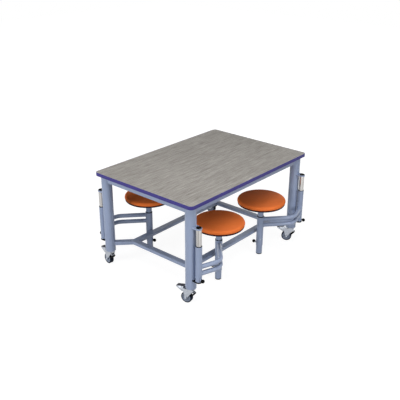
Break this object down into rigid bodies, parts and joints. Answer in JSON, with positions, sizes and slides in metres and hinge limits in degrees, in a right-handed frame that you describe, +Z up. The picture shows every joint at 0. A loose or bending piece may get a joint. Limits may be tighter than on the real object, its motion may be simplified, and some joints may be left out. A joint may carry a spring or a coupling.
{
  "type": "table with attached swivel seats",
  "caption": "Rectangular rolling table on round tube legs with swing-out stools: each round padded seat turns on a post carried by a bent double-tube arm that pivots beside a leg.",
  "frame": {"origin": "on the floor under the middle of the table top", "axes": "+X along the long side, +Y along the short side, +Z up"},
  "size_m": [1.333, 1.0546, 0.7476],
  "materials": {
    "laminate": "satin grey wood-grain laminate",
    "edge_band": "satin purple edging",
    "frame_paint": "semi-gloss pale blue-grey powder coat",
    "stainless": "brushed",
    "zinc": "bright zinc plate",
    "black_metal": "satin black",
    "black_plastic": "satin black",
    "tyre": "matt dark",
    "seat_pan": "satin dark",
    "seat_vinyl": "smooth orange vinyl",
    "screw": "zinc plated"
  },
  "bodies": {
    "frame": {"table_top": "laminate", "edge_band": "edge_band", "top_screws": "screw", "apron_rails": "frame_paint", "legs": "frame_paint", "stretcher_ring": "frame_paint", "upper_brackets": "frame_paint", "lower_brackets": "black_metal"},
    "shaft_fl": {"pivot_shaft_fl": "stainless"},
    "arm_fl": {"pivot_sleeve_fl": "frame_paint", "arm_tubes_fl": "frame_paint", "stool_post_fl": "frame_paint", "arm_bushes_fl": "black_plastic"},
    "foot_fl": {"foot_tube_fl": "frame_paint"},
    "seat_fl": {"seat_base_fl": "seat_pan", "seat_pad_fl": "seat_vinyl"},
    "sleeve_plunger_fl": {"sleeve_knob_fl": "black_plastic"},
    "post_plunger_fl": {"post_knob_fl": "black_plastic"},
    "caster_fl": {"caster_fork_fl": "zinc"},
    "wheel_fl": {"caster_wheel_fl": "tyre"},
    "brake_fl": {"brake_pedal_fl": "zinc"},
    "shaft_fr": {"pivot_shaft_fr": "stainless"},
    "arm_fr": {"pivot_sleeve_fr": "frame_paint", "arm_tubes_fr": "frame_paint", "stool_post_fr": "frame_paint", "arm_bushes_fr": "black_plastic"},
    "foot_fr": {"foot_tube_fr": "frame_paint"},
    "seat_fr": {"seat_base_fr": "seat_pan", "seat_pad_fr": "seat_vinyl"},
    "sleeve_plunger_fr": {"sleeve_knob_fr": "black_plastic"},
    "post_plunger_fr": {"post_knob_fr": "black_plastic"},
    "caster_fr": {"caster_fork_fr": "zinc"},
    "wheel_fr": {"caster_wheel_fr": "tyre"},
    "brake_fr": {"brake_pedal_fr": "zinc"},
    "shaft_bl": {"pivot_shaft_bl": "stainless"},
    "arm_bl": {"pivot_sleeve_bl": "frame_paint", "arm_tubes_bl": "frame_paint", "stool_post_bl": "frame_paint", "arm_bushes_bl": "black_plastic"},
    "foot_bl": {"foot_tube_bl": "frame_paint"},
    "seat_bl": {"seat_base_bl": "seat_pan", "seat_pad_bl": "seat_vinyl"},
    "sleeve_plunger_bl": {"sleeve_knob_bl": "black_plastic"},
    "post_plunger_bl": {"post_knob_bl": "black_plastic"},
    "caster_bl": {"caster_fork_bl": "zinc"},
    "wheel_bl": {"caster_wheel_bl": "tyre"},
    "brake_bl": {"brake_pedal_bl": "zinc"},
    "shaft_br": {"pivot_shaft_br": "stainless"},
    "arm_br": {"pivot_sleeve_br": "frame_paint", "arm_tubes_br": "frame_paint", "stool_post_br": "frame_paint", "arm_bushes_br": "black_plastic"},
    "foot_br": {"foot_tube_br": "frame_paint"},
    "seat_br": {"seat_base_br": "seat_pan", "seat_pad_br": "seat_vinyl"},
    "sleeve_plunger_br": {"sleeve_knob_br": "black_plastic"},
    "post_plunger_br": {"post_knob_br": "black_plastic"},
    "caster_br": {"caster_fork_br": "zinc"},
    "wheel_br": {"caster_wheel_br": "tyre"},
    "brake_br": {"brake_pedal_br": "zinc"}
  },
  "joints": [
    {"name": "swing_fl", "type": "hinge", "parent": "frame", "child": "shaft_fl", "pos_m": [-0.6071, -0.4681, 0.38], "axis": [0, 0, -1], "range_deg": [0, 110]},
    {"name": "lift_fl", "type": "slide", "parent": "shaft_fl", "child": "arm_fl", "axis": [0, 0, 1], "range_m": [0, 0.055]},
    {"name": "foot_slide_fl", "type": "slide", "parent": "arm_fl", "child": "foot_fl", "axis": [0, 0, -1], "range_m": [0, 0.055]},
    {"name": "seat_swivel_fl", "type": "hinge", "parent": "arm_fl", "child": "seat_fl", "pos_m": [-0.25052, -0.3463, 0.32], "axis": [0, 0, 1], "continuous": true},
    {"name": "sleeve_pull_fl", "type": "slide", "parent": "arm_fl", "child": "sleeve_plunger_fl", "axis": [-0.1219, -0.9925, 0], "range_m": [0, 0.008], "stiffness_N_per_m": 400},
    {"name": "post_pull_fl", "type": "slide", "parent": "arm_fl", "child": "post_plunger_fl", "axis": [0, 1, 0], "range_m": [0, 0.008], "stiffness_N_per_m": 400},
    {"name": "caster_swivel_fl", "type": "hinge", "parent": "frame", "child": "caster_fl", "pos_m": [-0.6071, -0.3996, 0.112], "axis": [0, 0, 1], "continuous": true},
    {"name": "wheel_spin_fl", "type": "hinge", "parent": "caster_fl", "child": "wheel_fl", "pos_m": [-0.61282, -0.37015, 0.04], "axis": [-0.9816, -0.1908, 0], "continuous": true},
    {"name": "brake_press_fl", "type": "hinge", "parent": "caster_fl", "child": "brake_fl", "pos_m": [-0.61168, -0.37604, 0.093], "axis": [-0.9816, -0.1908, 0], "range_deg": [0, 6]},
    {"name": "swing_fr", "type": "hinge", "parent": "frame", "child": "shaft_fr", "pos_m": [0.6071, -0.4681, 0.38], "axis": [0, 0, 1], "range_deg": [0, 110]},
    {"name": "lift_fr", "type": "slide", "parent": "shaft_fr", "child": "arm_fr", "axis": [0, 0, 1], "range_m": [0, 0.055]},
    {"name": "foot_slide_fr", "type": "slide", "parent": "arm_fr", "child": "foot_fr", "axis": [0, 0, -1], "range_m": [0, 0.055]},
    {"name": "seat_swivel_fr", "type": "hinge", "parent": "arm_fr", "child": "seat_fr", "pos_m": [0.25052, -0.3463, 0.32], "axis": [0, 0, 1], "continuous": true},
    {"name": "sleeve_pull_fr", "type": "slide", "parent": "arm_fr", "child": "sleeve_plunger_fr", "axis": [0.1219, -0.9925, 0], "range_m": [0, 0.008], "stiffness_N_per_m": 400},
    {"name": "post_pull_fr", "type": "slide", "parent": "arm_fr", "child": "post_plunger_fr", "axis": [0, 1, 0], "range_m": [0, 0.008], "stiffness_N_per_m": 400},
    {"name": "caster_swivel_fr", "type": "hinge", "parent": "frame", "child": "caster_fr", "pos_m": [0.6071, -0.3996, 0.112], "axis": [0, 0, 1], "continuous": true},
    {"name": "wheel_spin_fr", "type": "hinge", "parent": "caster_fr", "child": "wheel_fr", "pos_m": [0.59395, -0.37264, 0.04], "axis": [-0.8988, -0.4384, 0], "continuous": true},
    {"name": "brake_press_fr", "type": "hinge", "parent": "caster_fr", "child": "brake_fr", "pos_m": [0.59658, -0.37803, 0.093], "axis": [-0.8988, -0.4384, 0], "range_deg": [0, 6]},
    {"name": "swing_bl", "type": "hinge", "parent": "frame", "child": "shaft_bl", "pos_m": [-0.6071, 0.4681, 0.38], "axis": [0, 0, 1], "range_deg": [0, 110]},
    {"name": "lift_bl", "type": "slide", "parent": "shaft_bl", "child": "arm_bl", "axis": [0, 0, 1], "range_m": [0, 0.055]},
    {"name": "foot_slide_bl", "type": "slide", "parent": "arm_bl", "child": "foot_bl", "axis": [0, 0, -1], "range_m": [0, 0.055]},
    {"name": "seat_swivel_bl", "type": "hinge", "parent": "arm_bl", "child": "seat_bl", "pos_m": [-0.25052, 0.3463, 0.32], "axis": [0, 0, 1], "continuous": true},
    {"name": "sleeve_pull_bl", "type": "slide", "parent": "arm_bl", "child": "sleeve_plunger_bl", "axis": [0.2588, 0.9659, 0], "range_m": [0, 0.008], "stiffness_N_per_m": 400},
    {"name": "post_pull_bl", "type": "slide", "parent": "arm_bl", "child": "post_plunger_bl", "axis": [0, -1, 0], "range_m": [0, 0.008], "stiffness_N_per_m": 400},
    {"name": "caster_swivel_bl", "type": "hinge", "parent": "frame", "child": "caster_bl", "pos_m": [-0.6071, 0.3996, 0.112], "axis": [0, 0, 1], "continuous": true},
    {"name": "wheel_spin_bl", "type": "hinge", "parent": "caster_bl", "child": "wheel_bl", "pos_m": [-0.60344, 0.42938, 0.04], "axis": [-0.9925, 0.1219, 0], "continuous": true},
    {"name": "brake_press_bl", "type": "hinge", "parent": "caster_bl", "child": "brake_bl", "pos_m": [-0.60418, 0.42342, 0.093], "axis": [-0.9925, 0.1219, 0], "range_deg": [0, 6]},
    {"name": "swing_br", "type": "hinge", "parent": "frame", "child": "shaft_br", "pos_m": [0.6071, 0.4681, 0.38], "axis": [0, 0, -1], "range_deg": [0, 110]},
    {"name": "lift_br", "type": "slide", "parent": "shaft_br", "child": "arm_br", "axis": [0, 0, 1], "range_m": [0, 0.055]},
    {"name": "foot_slide_br", "type": "slide", "parent": "arm_br", "child": "foot_br", "axis": [0, 0, -1], "range_m": [0, 0.055]},
    {"name": "seat_swivel_br", "type": "hinge", "parent": "arm_br", "child": "seat_br", "pos_m": [0.25052, 0.3463, 0.32], "axis": [0, 0, 1], "continuous": true},
    {"name": "sleeve_pull_br", "type": "slide", "parent": "arm_br", "child": "sleeve_plunger_br", "axis": [0.1219, 0.9925, 0], "range_m": [0, 0.008], "stiffness_N_per_m": 400},
    {"name": "post_pull_br", "type": "slide", "parent": "arm_br", "child": "post_plunger_br", "axis": [0, -1, 0], "range_m": [0, 0.008], "stiffness_N_per_m": 400},
    {"name": "caster_swivel_br", "type": "hinge", "parent": "frame", "child": "caster_br", "pos_m": [0.6071, 0.3996, 0.112], "axis": [0, 0, 1], "continuous": true},
    {"name": "wheel_spin_br", "type": "hinge", "parent": "caster_br", "child": "wheel_br", "pos_m": [0.60293, 0.42931, 0.04], "axis": [-0.9903, -0.1392, 0], "continuous": true},
    {"name": "brake_press_br", "type": "hinge", "parent": "caster_br", "child": "brake_br", "pos_m": [0.60376, 0.42337, 0.093], "axis": [-0.9903, -0.1392, 0], "range_deg": [0, 6]}
  ],
  "couplings": [
    {"joint": "foot_slide_fl", "follows": "lift_fl", "ratio": 1},
    {"joint": "foot_slide_fr", "follows": "lift_fr", "ratio": 1},
    {"joint": "foot_slide_bl", "follows": "lift_bl", "ratio": 1},
    {"joint": "foot_slide_br", "follows": "lift_br", "ratio": 1}
  ]
}
